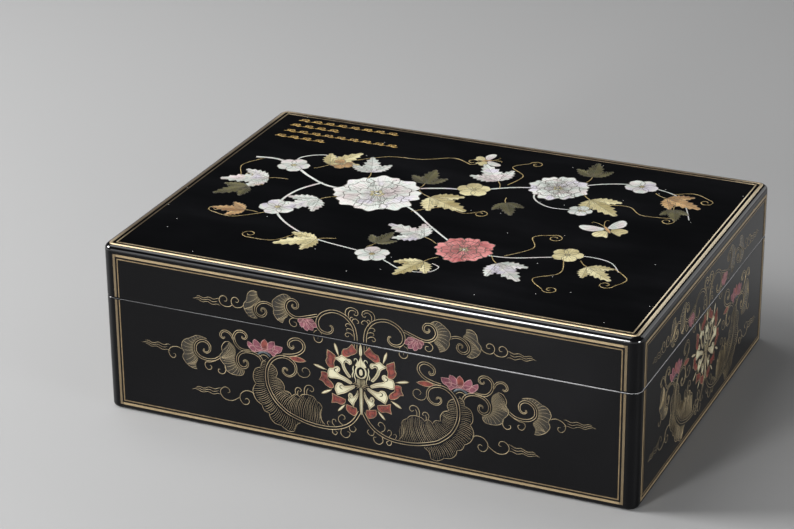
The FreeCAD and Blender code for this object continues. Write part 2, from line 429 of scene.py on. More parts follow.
gold = Finish("gold_line")
x, y, _ = gold.parts(gold.place())
wear = gold.noise(260, 3)
tone = gold.noise(24, 2)
handled = abs(x).over(case_high.x - handled_within) * abs(y).over(long_side_from)
fresh_gold_and_painted_highlight = gold.mix(0.5 * tone + 0.5 * wear, (0.18, 0.125, 0.06), (0.46, 0.355, 0.21))
gold.set(Base_Color=gold.mix(handled * (0.5 + 0.3 * tone), fresh_gold_and_painted_highlight, (0.05, 0.036, 0.02)),
         Metallic=0.4, Roughness=0.28 + 0.2 * wear)
repaint(gold, "base_gold_border", "lid_gold_border")

bright_gold = Finish("bright_gold")
x, y, _ = bright_gold.parts(bright_gold.place())
worn = bright_gold.noise(200, 3)
from_side = case_high.x - abs(x)
from_end = case_high.y - abs(y)
slope = (edge_rounding_within - from_side.at_most(from_end)).at_least(0)
along_side, along_end = [bright_gold.add("MapRange", None, {"Value": gap, "From Max": painted_light_fades_over})
                         for gap in (from_end - from_side, from_side - from_end)]
# Painted highlight: the run along the right is made brighter and less metallic.
fresh_gold_and_painted_highlight = along_side * x.over(0)
# Painted shade: the runs along the left and the back are darkened toward brown-black.
painted_light_share = along_side * (1 - x.over(0)) + along_end * y.over(0)
colour = bright_gold.mix(worn, (0.78, 0.58, 0.33), (1.0, 0.84, 0.58))
colour = bright_gold.mix(fresh_gold_and_painted_highlight, colour, (1.0, 0.85, 0.6))
bright_gold.set(Base_Color=bright_gold.mix(0.75 * painted_light_share, colour, (0.10, 0.06, 0.03)),
                Metallic=0.85 - 0.7 * fresh_gold_and_painted_highlight, Roughness=0.24 + 0.2 * worn,
                Normal=bright_gold.bump(-160 * slope ** 2.0, 1, 1))
repaint(bright_gold, "lid_top_border")

dull_gold = Finish("dull_gold")
wear = dull_gold.noise(300, 3)
dull_gold.set(Base_Color=dull_gold.mix(wear, (0.09, 0.06, 0.03), (0.26, 0.19, 0.10)),
              Metallic=0.4, Roughness=0.3 + 0.2 * wear)
for name in ("base_gold_border", "lid_gold_border"):
    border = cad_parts[name]
    border.data.materials.append(dull_gold.material)
    low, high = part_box(name)
    for face in border.data.polygons:
        spot = face.center
        on_long_side = abs(spot.y) > long_side_from
        from_corner = case_high.x - abs(spot.x) if on_long_side else case_high.y - abs(spot.y)
        from_edge = high.z - spot.z if name.startswith("lid") else spot.z - low.z
        if min(from_corner - border_from_corner, from_edge) > thin_line_within:
            face.material_index = len(border.data.materials) - 1

# ---------------------------------------------------------------------------
# Lotus scrolls: gold painted on the four sides with a fine brush, the same on
# both halves. A stem is two lines with the lacquer left bare between them, and
# a leaf is a row of hair lines over a thin gold wash.
# ---------------------------------------------------------------------------
random.seed(7)
case_width = case_high.x - case_low.x
case_depth = case_high.y - case_low.y
line_width = 0.38
hair_width = 0.27
rim_width = 0.34
stem_gap = 1.75
lotus_centre = (0, 50)


def smooth(points, step=0.9):
    """Places about one step apart on a smooth line through the points."""
    ends = [points[0]] + list(points) + [points[-1]]
    line = []
    for before, start, end, after in zip(ends, ends[1:], ends[2:], ends[3:]):
        count = max(1, round(math.dist(start, end) / step))
        for index in range(count):
            t = index / count
            line.append(tuple(0.5 * (2 * b + (c - a) * t + (2 * a - 5 * b + 4 * c - d) * t ** 2
                                     + (3 * b - a - 3 * c + d) * t ** 3)
                              for a, b, c, d in zip(before, start, end, after)))
    return line + [tuple(points[-1])]


def beside(line, distance):
    """A line that runs beside another and draws near to it at the far end."""
    moved = []
    for index, (x, z) in enumerate(line):
        ahead, behind = line[min(index + 1, len(line) - 1)], line[max(index - 1, 0)]
        run, climb = ahead[0] - behind[0], ahead[1] - behind[1]
        reach = distance * min(1, 0.35 + 2.2 * (1 - index / len(line))) / math.hypot(run, climb)
        moved.append((x - climb * reach, z + run * reach))
    return moved


def between(start, end, share):
    """The place a share of the way between two others."""
    return tuple(a + (b - a) * share for a, b in zip(start, end))


def aside(start, end, share, lean):
    """The place a share of the way between two others, and that much of the way to its left."""
    run, climb = end[0] - start[0], end[1] - start[1]
    return start[0] + run * share - climb * lean, start[1] + climb * share + run * lean


def even(line, count):
    """A line with its points spaced evenly by length."""
    steps = [math.dist(a, b) for a, b in zip(line, line[1:])]
    total, spots, travelled, index = sum(steps), [], 0.0, 0
    for number in range(count):
        goal = total * number / (count - 1)
        while index < len(steps) - 1 and travelled + steps[index] < goal:
            travelled += steps[index]
            index += 1
        rest = (goal - travelled) / max(steps[index], 1e-9)
        spots.append(between(line[index], line[index + 1], rest))
    return spots


def straight_out(rib, edge):
    """For each place on a leaf's rib, the place on its edge that lies straight out from it."""
    middle, far = len(rib) // 2, edge[len(edge) // 2]
    across = [far[axis] - rib[middle][axis] for axis in (0, 1)]
    forward = [rib[middle + 1][axis] - rib[middle - 1][axis] for axis in (0, 1)]
    side = 1 if forward[0] * across[1] > forward[1] * across[0] else -1
    ends, first = [], 0
    for index, root in enumerate(rib):
        ahead, behind = rib[min(index + 1, len(rib) - 1)], rib[max(index - 1, 0)]
        out = (side * (behind[1] - ahead[1]), side * (ahead[0] - behind[0]))

        def squareness(number):
            run, climb = edge[number][0] - root[0], edge[number][1] - root[1]
            return (out[0] * run + out[1] * climb) / max(math.hypot(run, climb), 1e-6)

        first = max(range(first, len(edge)), key=squareness)
        ends.append(edge[first])
    return ends


class Painting:
    """What is painted on one face, in millimetres across and up, both halves at once."""

    def __init__(self, squeeze=1.0):
        self.squeeze = squeeze
        self.strokes = []
        self.washes = []
        self.plates = []

    def both(self, points):
        """The points on the right half and on the left half."""
        right = [(x * self.squeeze, z) for x, z in points]
        return right, [(-x, z) for x, z in right]

    def stroke(self, points, width=line_width, paint="gold"):
        """One brush line along smooth points."""
        for half in self.both(smooth(points)):
            self.strokes.append((half, width, paint))

    def curls(self, *lines):
        """Gold lines of the common width."""
        for line in lines:
            self.stroke(line)

    def stem(self, points, gap=stem_gap):
        """Two lines that run side by side and draw together at the curled end."""
        line = smooth(points)
        for sign in (-1, 1):
            for half in self.both(beside(line, sign * gap / 2)):
                self.strokes.append((half, line_width, "gold"))

    def leaf(self, inner, lobes, hairs, washed=True):
        """A leaf between its rib and its lobed edge, each lobe starting where the last one
        ends: edge line, hair lines and a wash."""
        rib = even(smooth(inner), hairs)
        edge, last = [], []
        for lobe in lobes:
            self.stroke(last + lobe, line_width * 0.85)
            edge += smooth(last + lobe, 0.4)
            last = lobe[-1:]
        edge = straight_out(rib, edge)
        for half_rib, half_edge in zip(self.both(rib), self.both(edge)):
            if washed:
                self.washes.append((half_rib, half_edge))
            for root, tip in zip(half_rib, half_edge):
                start, end = random.uniform(0.0, 0.08), random.uniform(0.82, 1.0)
                sway = 0.09 + random.uniform(-0.015, 0.015)
                shares = [start + (end - start) * part / 3 for part in range(4)]
                hair = [aside(root, tip, share, sway * math.sin(math.pi * share)) for share in shares]
                self.strokes.append((hair, hair_width * random.uniform(0.7, 1.15), "gold"))

    def flame(self, start, end, spread):
        """Three wavering hair lines side by side, the middle one furthest out."""
        for number in range(3):
            height = (number / 2 - 0.5) * spread
            first, reach = 0.1 * (number % 2), 1 - 0.13 * abs(number - 1)
            line = []
            for index in range(17):
                share = first + (reach - first) * index / 16
                x, z = between(start, end, share)
                wave = 0.5 * math.sin(17 * share + 0.4 * number)
                line.append((x, z + height * (1 - 0.55 * share) + wave))
            self.stroke(line, hair_width)

    def petal(self, root, tip, width, paint, belly, rim=None):
        """A pointed petal from its root to its tip, widest at the belly."""
        outline = []
        for sign in (1, -1):
            for index in range(9):
                share = index / 8 if sign > 0 else 1 - index / 8
                swell = math.sin(math.pi * share ** (math.log(0.5) / math.log(belly))) ** 0.8
                outline.append(aside(root, tip, share, sign * swell * width / 2 / math.dist(root, tip)))
        self.plate(outline, paint, 1, rim)

    def contour(self, outline, inset, width, paint):
        """A line that runs inside a patch, along its rim."""
        ring = list(zip(outline[-1:] + outline[:-1], outline, outline[1:] + outline[:1]))
        turn = sum(x * ahead[1] - ahead[0] * z for _, (x, z), ahead in ring)
        line = []
        for behind, (x, z), ahead in ring:
            run, climb = ahead[0] - behind[0], ahead[1] - behind[1]
            reach = math.copysign(inset, turn) / max(math.hypot(run, climb), 0.01)
            line.append((x - climb * reach, z + run * reach))
        for half in self.both(line + line[:1]):
            self.strokes.append((half, width, paint))

    def patch(self, outline, paint, layer, rim=None):
        """A plate with a smooth outline, in which a point that is given twice is a sharp tip."""
        self.plate(smooth(outline + outline[:1])[:-1], paint, layer, rim)

    def plate(self, outline, paint, layer, rim=None):
        """A flat piece of lacquer paint, with a line round its rim if one is named."""
        for half in self.both(outline):
            self.plates.append((half, paint, layer))
            if rim:
                self.strokes.append((half + half[:1], hair_width * 1.2, rim))


def paint_lid_side(painting):
    """The upper row of scrolls, on the lid's wall."""
    painting.stem(
        [(3, 77.9), (3.2, 82), (4.3, 86.5), (6.5, 90), (9.8, 92.8), (14, 94.4), (18, 94.6),
         (22, 93.4), (25.5, 91.2), (27.7, 88), (28.3, 85), (27.5, 82), (25.3, 80), (22.3, 79.4),
         (19.5, 80.3), (18.1, 82.4), (18.6, 84.4), (20.2, 84.7)])
    painting.stem(
        [(28, 90.2), (34, 88.2), (40, 86.3), (44, 86.4), (47.5, 88.4), (49.2, 92), (48, 95.6),
         (45.3, 97.4), (42.4, 97), (40.9, 94.8), (41.5, 92.6), (43.5, 92), (44.8, 93.3), (44, 94.6)],
        1.4)
    painting.leaf(
        [(45.5, 98.4), (48.8, 96.4), (50.2, 92.2), (49.2, 88.6), (47.4, 86.2), (49.5, 84.6),
         (51.2, 81)],
        [[(45.5, 98.4), (48, 100), (51, 99.9), (55.6, 96.9)],
         [(57.8, 94.4), (58.1, 91.4), (57.1, 88.9)], [(57.4, 86.4), (55, 82.6), (51.2, 80.8)]], 16)
    painting.stem(
        [(58, 91), (61.5, 92.3), (65, 91.9), (68, 89.8), (69.6, 86.7), (68.8, 84), (66.5, 82.7),
         (63.8, 83.4), (62.4, 85.7), (63.2, 87.9), (65, 88.1), (65.8, 86.6), (64.8, 85.7)], 1.2)
    painting.leaf(
        [(68.1, 98.4), (67.7, 95.5), (65.6, 93.3), (68.4, 92), (70.8, 89), (71.2, 85.5), (69.8, 82.6),
         (68.3, 81)],
        [[(68.1, 98.4), (71.4, 98.6), (74.4, 96.2), (75.2, 91.6)],
         [(77.4, 88.8), (76.8, 85), (74.6, 82)], [(71.6, 80.6), (68.3, 81)]], 15)
    painting.curls(
        [(40.5, 85.3), (44.5, 85.4), (46.8, 83.3), (46.2, 80.8), (43.9, 79.7), (42, 81), (42.5, 82.8),
         (44.2, 82.9)],
        [(77.2, 89.2), (77.8, 87.5), (79.6, 86), (82.6, 85.4), (85, 86.5), (85.9, 89), (84.8, 91.5),
         (82.4, 92), (80.8, 90.4), (81.6, 88.9), (83.2, 89.3)],
        [(85.3, 86.8), (87, 85.3), (90, 84.9), (92.8, 86), (94.1, 88.5), (93, 91), (90.6, 91.8),
         (88.7, 90.3), (89.2, 88.5), (90.8, 88.5)])
    painting.flame((93.6, 86.9), (112, 87.1), 4.2)
    painting.curls(
        [(9.4, 93.2), (9.6, 95.6), (8.6, 97.9), (6.2, 99.2), (3.6, 99), (1.6, 97.6), (1.3, 95.6),
         (2.3, 94.5), (3.6, 94.6), (3.8, 95.6)],
        [(7.3, 92.6), (7.6, 95), (6.6, 96.9), (4.9, 97.6), (3.2, 97.2), (2.6, 96.2)],
        [(5.4, 89.2), (4.9, 91.4), (3, 92.3), (1.2, 91.3), (1, 89.8), (2.2, 89.6)],
        [(6.6, 90.6), (6.4, 92.4), (5.2, 93.1), (4.3, 92.3)],
        [(5.6, 87.2), (7.4, 88.3), (9.2, 87.9), (9.6, 86.6), (8.7, 86.2)],
        [(4.7, 84.2), (6.6, 85.1), (8.6, 84.9), (9.1, 83.8), (8.2, 83.4)],
        [(4.6, 80.6), (6.4, 82.1), (8.7, 82.2), (9.9, 80.9), (9.2, 79.6), (7.8, 79.8), (7.7, 80.7)],
        [(26.5, 79.5), (25.6, 78.7), (25.4, 77.9)],
        [(28.5, 80.2), (30.2, 79.3), (30.7, 77.9)])
    painting.patch([(32, 86), (37, 86.8), (39.6, 85), (38.6, 82), (35, 80.8), (31, 82.6)], "pink", 2)
    for root, tip, width in (((35.4, 86.6), (30.2, 84.6), 3.2), ((35.2, 86), (28.6, 82.2), 3.6),
                             ((36, 85.6), (31.2, 79.6), 3.8), ((36.8, 85.4), (35, 78.6), 3.8),
                             ((37.4, 85.8), (38.8, 80.4), 3.4), ((37.6, 86.2), (41, 83.6), 2.8)):
        painting.petal(root, tip, width, "pink", 0.62, "pale")


def paint_base_side(painting, long_side):
    """The main scrolls, on the base's wall; a long side has one more leaf at each end."""
    painting.stem(
        [(1.2, 30.8), (3.2, 27), (5.3, 23.8), (8.6, 20.6), (12.7, 18.2), (17, 16.6), (22.5, 15.7),
         (30, 15.7), (36, 16.4), (40.5, 17.5), (45, 18.9), (49.5, 20.7), (53.6, 23.6), (57.6, 27.4),
         (60.6, 32), (62.7, 37.3), (63.3, 42.7), (62.8, 47.7), (61, 52.2), (58.2, 55.5), (54.5, 57.6),
         (50.5, 58.2), (46.6, 57), (44, 54.5), (43.2, 51.4), (44.3, 48), (47.1, 45.9), (50.2, 46.1),
         (52.1, 48.2), (51.5, 50.5), (49.6, 50.4), (49.1, 49)])
    painting.leaf(
        [(24.5, 16.8), (30, 16.8), (36, 17.5), (40.5, 18.6), (45, 20), (49, 21.8), (53, 24.7),
         (56.6, 28.4), (59.5, 32.6), (61.4, 37.5), (62, 42.7), (61.6, 47.5), (60.4, 51.4)],
        [[(24.5, 17.2), (27.2, 21), (27.6, 25), (26.2, 28.6)], [(27.4, 31), (29.9, 32.4)],
         [(32, 34.8), (36, 35.6), (39.6, 34.9), (41.4, 33)], [(43, 34.4), (45, 34), (46.6, 32.4)],
         [(48.2, 34.8), (51.7, 35.2)], [(51.6, 38.6), (53.6, 41.8), (57.2, 43.2)],
         [(56, 46.2), (57.2, 49.6), (60.4, 52)]], 46, False)
    painting.leaf(
        [(41, 15.6), (45.5, 17), (50, 18.8), (54.6, 21.8), (58.9, 25.8), (62.2, 31), (64.4, 36.8),
         (65, 42.7), (64.4, 48.2), (63.2, 52.5)],
        [[(41, 15.3), (44.2, 12.9), (45.4, 8.6)], [(49.6, 8), (54.2, 10.8)],
         [(58.6, 11.6), (61.6, 14.6), (62.3, 17.8)], [(65.6, 19), (67.2, 22.6)],
         [(70.4, 24.6), (72.6, 28.4), (72.9, 32.4), (70.8, 36.4)],
         [(72.4, 39.4), (72.2, 43.6), (70.4, 46.8), (67, 48.2)], [(66.4, 51.4), (63.6, 54)]], 44,
        False)
    painting.curls(
        [(37.9, 35.3), (38, 38.6), (36.8, 41.3), (34.2, 42.2), (32, 41), (31.8, 39), (33.2, 38.1),
         (34.4, 39)],
        [(36.3, 35.3), (36.3, 38.2), (35.2, 40)],
        [(43.6, 34.2), (44.2, 36.9), (42.9, 39), (40.8, 38.9), (40, 37.4), (41, 36.5)],
        [(42.3, 33.4), (42.5, 36), (41.8, 37.4)])
    painting.stem(
        [(52, 59.2), (45.5, 60.4), (40.6, 62.6), (37.7, 66), (38, 69.6), (41, 71.7), (44.9, 71.1),
         (47.7, 68.6), (47.5, 65.8), (45.4, 64.8), (44.4, 66), (45, 67)], 1.5)
    painting.stem(
        [(66, 52.3), (67.6, 55), (71.5, 56.8), (76.3, 56.9), (80.3, 55.4), (82.5, 52.7), (83, 49.6),
         (81.9, 46.7), (79.2, 45.4), (76.7, 46.6), (75.9, 48.9), (77, 50.8), (78.7, 50.2),
         (78.6, 48.9)], 1.4)
    painting.stem(
        [(74, 58), (78, 57.6), (81.4, 58.4), (84.1, 61.4), (85, 65.6), (83.3, 68.8), (80.3, 70),
         (77.4, 69.2), (76.2, 67), (77.6, 65.2), (79.4, 65.8), (79.2, 67)], 1.3)
    painting.stem(
        [(85.4, 63.5), (86.6, 66.2), (88.6, 67.8), (91.4, 68.2), (93.6, 66.6), (93.9, 64.2),
         (92.2, 63.1), (91, 64.2)], 1.1)
    painting.leaf(
        [(88.1, 61.4), (84.8, 58.6), (84, 55), (84.8, 51.2), (84.4, 48.1), (82.5, 45.4), (78.6, 43.8)],
        [[(88.1, 61.6), (91.4, 60.6), (93.6, 57), (93.1, 53.4)], [(95, 51), (94.4, 47.8), (91.9, 45)],
         [(91.2, 42), (87.5, 39.8), (82.4, 39.5)], [(79.6, 40.6), (78.2, 43.6)]], 21)
    painting.stroke(
        [(91.6, 44.8), (91.2, 42), (92, 39.6), (94, 38.4), (96.3, 39.4), (96.3, 41.2), (95.1, 41.4)])
    if long_side:
        painting.stem(
            [(95, 49.8), (98.8, 47.3), (103.5, 46.4), (108.1, 47.2), (111.2, 49.6), (112, 52.8),
             (110.8, 56.3), (107.4, 58.6), (104, 58.4), (101.8, 56), (102, 52.7), (104.2, 51),
             (106.2, 52), (105.6, 53.5)], 1.4)
        painting.leaf(
            [(103.5, 60.2), (108.4, 60), (112.3, 57), (113.6, 52.7), (112.8, 48.8), (110.2, 45.6),
             (112, 42), (111.4, 38.7)],
            [[(103.5, 60.4), (107, 61.4), (111, 61.4), (115.8, 58.8)],
             [(119.6, 56.8), (121.6, 52.6), (119.7, 48.4)],
             [(121, 45), (118.4, 41), (114.4, 38.8), (111.2, 38.5)]], 20)
        painting.curls(
            [(98, 46.6), (102, 45), (104.8, 44.6), (105.6, 42.4), (104, 39.9), (101.6, 40.2),
             (100.9, 42), (102.2, 42.9)],
            [(121.3, 50.2), (124.2, 51.3), (128, 50.5), (130.5, 48.1), (130.1, 44.8), (127.8, 43.1),
             (125.9, 44.4), (126.3, 46.2), (127.6, 46.2)])
        painting.flame((129.5, 49.4), (149.5, 50.4), 4)
    painting.curls(
        [(72, 28.8), (75, 30.2), (78.8, 29.7), (81.6, 27), (82, 23.6), (79.8, 20.6), (76.8, 21),
         (75.7, 23.4), (77.2, 24.8), (78.6, 24)],
        [(81.9, 25.2), (84.2, 23.3), (88.1, 21.2), (92.6, 21.6), (95.4, 24.6), (95.1, 27.7),
         (92.7, 29.7), (89.8, 29.2), (89, 26.9), (90.6, 26.2)])
    painting.flame((95, 26), (115, 24.6), 4.2)
    painting.stroke(
        [(42.6, 50.4), (41.2, 47.6), (38, 46.8), (34.9, 48.2), (33.9, 50.8), (35.2, 53.1),
         (37.8, 53.3), (39.2, 51.6), (38.2, 50.2)], line_width * 0.7)
    painting.curls(
        [(12.5, 19.6), (15, 21.5), (15.4, 24), (13.8, 26.2), (11.8, 26.2), (10.9, 24.4), (12.2, 23.5)],
        [(18, 17.8), (19.6, 19.8), (19.3, 22), (17.6, 22.3), (17.1, 20.8)],
        [(22, 17.2), (23, 19), (22, 20.5), (21, 19.6)],
        [(8.4, 19.8), (7.6, 16.7), (5.2, 16.5), (3.7, 18.6), (5, 20)],
        [(13.4, 17), (14, 13.6), (11.6, 11.4), (8.6, 12.4), (7.8, 15.2), (9.6, 15.8)],
        [(19.5, 15.2), (19.4, 12.8), (17.5, 11.9), (16.3, 13.8), (17.8, 14.6)],
        [(25.3, 75.7), (25.2, 74.2), (26.4, 72.6), (28.3, 72.2), (30.2, 73.3), (30.8, 75.7)],
        [(28, 75.7), (28.1, 74.4)],
        [(2.3, 75.7), (2.4, 69.5)],
        [(4, 75.7), (4.2, 72.5)])
    painting.stroke([(60.2, 56.4), (62.2, 58.1), (64.6, 58.8), (67, 58.1), (69, 56.4)], 1.3, "blue")
    painting.stroke([(61.6, 55.3), (63.1, 56.5), (64.8, 56.9), (66.5, 56.4), (67.8, 55.1)])
    painting.patch(
        [(54.6, 61.6), (59, 62), (64, 61), (69, 62), (74.4, 61), (72, 57.8), (68.4, 58.7), (64, 59.6),
         (60.2, 58.7), (58, 57.3)], "pink", 1, "pale")
    for outline, paint in (
            ([(52, 64.3), (52, 64.3), (54.6, 64.5), (57.2, 64.4), (58.6, 62.6), (58.4, 60),
              (56, 59.6), (53.2, 61)], "pink"),
            ([(75.6, 64.2), (75.6, 64.2), (73.4, 63.4), (71.6, 61.8), (70, 60), (71, 58.2),
              (73.6, 59.2), (75.6, 61.6)], "pink"),
            ([(57.4, 67), (57.4, 67), (60, 66.6), (61.9, 64.8), (62.4, 62), (61.6, 59.8), (59, 60.2),
              (57.4, 62.6), (57.2, 65)], "pink"),
            ([(71, 66.4), (71, 66.4), (68.6, 65.2), (66.7, 63), (66, 60.8), (67.4, 59.6),
              (70.2, 60.4), (71.8, 62.6), (71.8, 65)], "pink"),
            ([(64, 67.6), (64, 67.6), (62.2, 65.6), (61.8, 63), (62.8, 60.6), (64.2, 60),
              (65.6, 60.6), (66.6, 63), (66, 65.6)], "red")):
        painting.patch(outline, paint, 2, "pale")
    painting.petal((47.5, 58.4), (36.4, 58), 3.4, "red", 0.45, "gold")


def paint_medallion(painting):
    """The open lotus in the middle: cream inner petals, red outer ones, gold rims and spikes."""
    for outline in (
            [(2.4, 71), (4.2, 73.2), (5.6, 75.2), (5.6, 75.2), (7.2, 73.4), (8.6, 71.8), (11.4, 70.8),
             (11.4, 70.8), (12.4, 68.6), (12, 66.6), (9.4, 66), (6.6, 67.6), (3.6, 69.2)],
            [(16.6, 65.6), (18.8, 67), (21.9, 68.6), (21.9, 68.6), (22.3, 65.4), (22.2, 63.4),
             (23.2, 61.2), (23.2, 61.2), (22.2, 58.6), (20, 56.8), (17.6, 57.6), (17.8, 60.6),
             (16.9, 63)],
            [(21.6, 52.6), (24, 53.4), (26.4, 53), (26.4, 53), (26.3, 50.4), (27.8, 47.4),
             (27.8, 47.4), (25.4, 46.8), (23.4, 44.6), (19.8, 43.2), (18.2, 44.6), (19.4, 47),
             (22, 49.4)],
            [(10.6, 37.4), (13.6, 38.2), (16.6, 38.8), (19.3, 40), (19.3, 40), (19.1, 36.6),
             (19.9, 33.4), (19.9, 33.4), (16.4, 34.1), (13.2, 33.4), (10.8, 35.2)],
            [(3.2, 32.8), (6.2, 33.4), (9.6, 34.2), (9.6, 34.2), (10.1, 31.4), (8.2, 28.8),
             (4.9, 27.4), (4.9, 27.4), (3.1, 29.6)]):
        middle = [sum(part) / len(outline) for part in zip(*outline)]
        painting.patch(outline, "red", 1)
        painting.stroke(outline + outline[:1], rim_width)
        within = [between(middle, point, 0.62) for point in outline]
        painting.stroke(within + within[:1], 0.55, "wine")
        painting.stroke([middle, between(lotus_centre, middle, 1.1)], 0.6, "wine")
    for root, tip, width in (((14.4, 65.4), (17.2, 74), 1.9), ((22.2, 54.9), (31.6, 57.2), 1.9),
                             ((19.2, 42.4), (26.6, 38.4), 1.9), ((10.4, 34.2), (15.8, 28.4), 1.7)):
        painting.petal(root, tip, width, "gold", 0.6)
        painting.stroke([between(root, tip, share) for share in (0.2, 0.5, 0.88)], 0.85, "cream")
    for outline in (
            [(6.4, 53.4), (8.2, 55.4), (9.8, 57.8), (10.8, 60.4), (10.4, 62.3), (8.9, 62.4),
             (7.2, 61.2), (6, 62.6), (6.7, 64.6), (9.2, 64.9), (10.9, 66), (12.8, 66.7), (14.2, 65.4),
             (17.4, 63.9), (17.4, 63.9), (15.2, 62.8), (13, 61), (11.8, 57.8), (9.8, 54.6),
             (7.8, 52.6)],
            [(6, 49.8), (9.8, 52), (13.8, 53.4), (15.4, 54.5), (14, 55.8), (14, 57.8), (15.8, 58.7),
             (17.5, 57.5), (19, 56.6), (21, 56.3), (22, 53.6), (21.7, 50.8), (19.8, 50), (16.8, 50.4),
             (12.8, 50.2), (8.8, 48.9), (6.8, 48.4)],
            [(4.4, 48.2), (8, 46.9), (11.4, 46.3), (12.8, 47.6), (15.4, 47.6), (16.8, 45.6),
             (17.4, 43.2), (16.6, 41.2), (15.9, 39.2), (15.9, 39.2), (13.4, 40.6), (10.8, 41.7),
             (8, 43.7), (5.6, 45.4), (4.2, 46.6)],
            [(2.2, 45.2), (3.5, 42), (5.3, 40), (6, 41.6), (7.4, 42.3), (8.6, 40.6), (8.2, 38.7),
             (8.7, 37.3), (7, 35.6), (5.2, 33.4), (5.2, 33.4), (4.6, 36.2), (3.4, 38.2), (2.1, 41.2),
             (1.9, 44)]):
        painting.patch(outline, "cream", 2, "gold")
        painting.contour(smooth(outline + outline[:1])[:-1], 0.62, 0.3, "umber")
    for line in (
            [(11.3, 60.9), (10.8, 62.8), (9.4, 63.5), (8.1, 62.7)],
            [(16.3, 54.6), (17.6, 55.6), (17, 56.9), (15.6, 57)],
            [(12.2, 43.9), (13.7, 44.4), (14.1, 45.8), (12.8, 46.2)],
            [(5.9, 39.2), (7, 39), (7.6, 40.2), (6.9, 41)]):
        painting.stroke(line, 0.65, "black")
    top_petal = [(0.1, 68.4), (0.1, 68.4), (0.7, 66), (1.5, 64.4), (2.8, 63), (3.6, 61.4), (2.2, 60.8),
                 (1, 61.4), (0.1, 61.5)]
    painting.plate(smooth(top_petal), "cream", 2, "gold")
    heart_ring = [(0, 61.3), (2, 60.7), (3.2, 58.8), (3.2, 56.2), (2.1, 54.3), (0, 53.6)]
    painting.stroke(heart_ring, 1.1, "cream")
    heart = [(0, 59.6), (0.8, 59), (1.15, 57.4), (0.9, 55.8), (0, 55.3)]
    painting.plate(smooth(heart), "cream", 2)
    for line, width in (([(2.9, 62.9), (2, 64.6), (2.8, 66), (4.2, 65.6), (4.4, 64.4)], 0.5),
                        ([(4.8, 61), (5.2, 59), (4.9, 57), (5.7, 55), (5.4, 53.2)], 0.75),
                        ([(4.1, 56.4), (4.3, 54.2), (3.5, 52.2), (3.4, 50.2)], 0.6)):
        painting.stroke(line, width, "cream")
    for across in (0.7, 1.6, 2.5):
        painting.stroke([(across, 53), (across * 0.9, 51), (across * 0.7, 48.8)], 0.5, "cream")
    for across, low in ((4.6, 50.2), (5.6, 49.2), (4.8, 47.2), (3, 46.2)):
        painting.stroke([(across, low), (0.5 * across, 0.5 * low + 24.3), (0.3, 48.4)], 0.4)
    lowest_petal = [(0.1, 48), (0.5, 46), (0.6, 41), (0.55, 35), (0.35, 31), (0.1, 29)]
    painting.plate(smooth(lowest_petal), "cream", 2)
    painting.stroke([(0.9, 47.4), (1.1, 42), (1, 36), (0.7, 31), (0.3, 29)], rim_width)
    top_spike = [(0.1, 76.2), (0.7, 73.6), (0.9, 70.6), (0.5, 68.6), (0.1, 68.2)]
    painting.plate(smooth(top_spike), "cream", 2, "gold")


# ---------------------------------------------------------------------------
# Side ornament: the scrolls in gold line over a thin gold wash, and the petals in
# opaque lacquer of cream, brick red, pink and blue grey, standing a hair proud of
# the black. Back and left repeat front and right.
# ---------------------------------------------------------------------------
gold_paint = Finish("gold_paint")
brush = 2.2 * gold_paint.noise(55, 3) - 0.6
gold_paint.set(Base_Color=gold_paint.mix(brush, (0.12, 0.09, 0.045), (0.50, 0.40, 0.235)),
               Metallic=0.35, Roughness=0.36 + 0.2 * brush)

gold_wash = Finish("gold_wash")
thickness = gold_wash.add("Attribute", {"attribute_name": "gold_share"}, output="Fac")
haze = thickness * (0.5 + 0.9 * gold_wash.noise(150, 3))
gold_wash.set(Base_Color=gold_wash.mix(haze, (0.005, 0.005, 0.005), (0.34, 0.265, 0.14)),
              Metallic=0.3 * haze, Roughness=0.12 + 0.3 * haze)


def lacquer_paint(name, dark, light):
    """An opaque lacquer colour, uneven, as brushed by hand."""
    paint = Finish(name)
    unevenness = 3.2 * paint.noise(320, 4) - 1.1
    paint.set(Base_Color=paint.mix(unevenness, dark, light), Roughness=0.28 + 0.1 * unevenness,
              Normal=paint.bump(paint.noise(420, 2), 0.25, 0.1 * MM))
    return paint


cream_paint = Finish("cream_paint")
x, y, z = cream_paint.parts(cream_paint.place())
across = abs(x).at_most(abs(y))
from_heart = (across ** 2.0 + abs(z - lotus_centre[1] * MM) ** 2.0) ** 0.5
strokes = cream_paint.noise(170, 4)
pale = (0.045 / MM * from_heart + 0.6 * strokes).at_most(1)
cream_paint.set(Base_Color=cream_paint.mix(pale, (0.16, 0.105, 0.04), (0.52, 0.49, 0.335)),
                Roughness=0.26 + 0.2 * strokes,
                Normal=cream_paint.bump(cream_paint.noise(420, 2), 0.25, 0.1 * MM))

PAINTS = {"gold": gold_paint,
          "black": lacquer,
          "cream": cream_paint,
          "red": lacquer_paint("red_paint", (0.07, 0.009, 0.006), (0.23, 0.042, 0.027)),
          "pink": lacquer_paint("pink_paint", (0.08, 0.017, 0.028), (0.21, 0.057, 0.083)),
          "pale": lacquer_paint("pale_paint", (0.26, 0.14, 0.13), (0.43, 0.25, 0.235)),
          "wine": lacquer_paint("wine_paint", (0.035, 0.005, 0.004), (0.07, 0.010, 0.008)),
          "umber": lacquer_paint("umber_paint", (0.05, 0.032, 0.014), (0.13, 0.09, 0.04)),
          "blue": lacquer_paint("blue_paint", (0.03, 0.045, 0.055), (0.07, 0.095, 0.11))}
SIDES = ("front", "right", "back", "left")
paint_height = 0.09 * MM
layer_step = 0.02 * MM
in_the_plane = 0.0001
wash_height = 0.012
wash_shares = (0.3, 0.1, 0.05, 0.04)


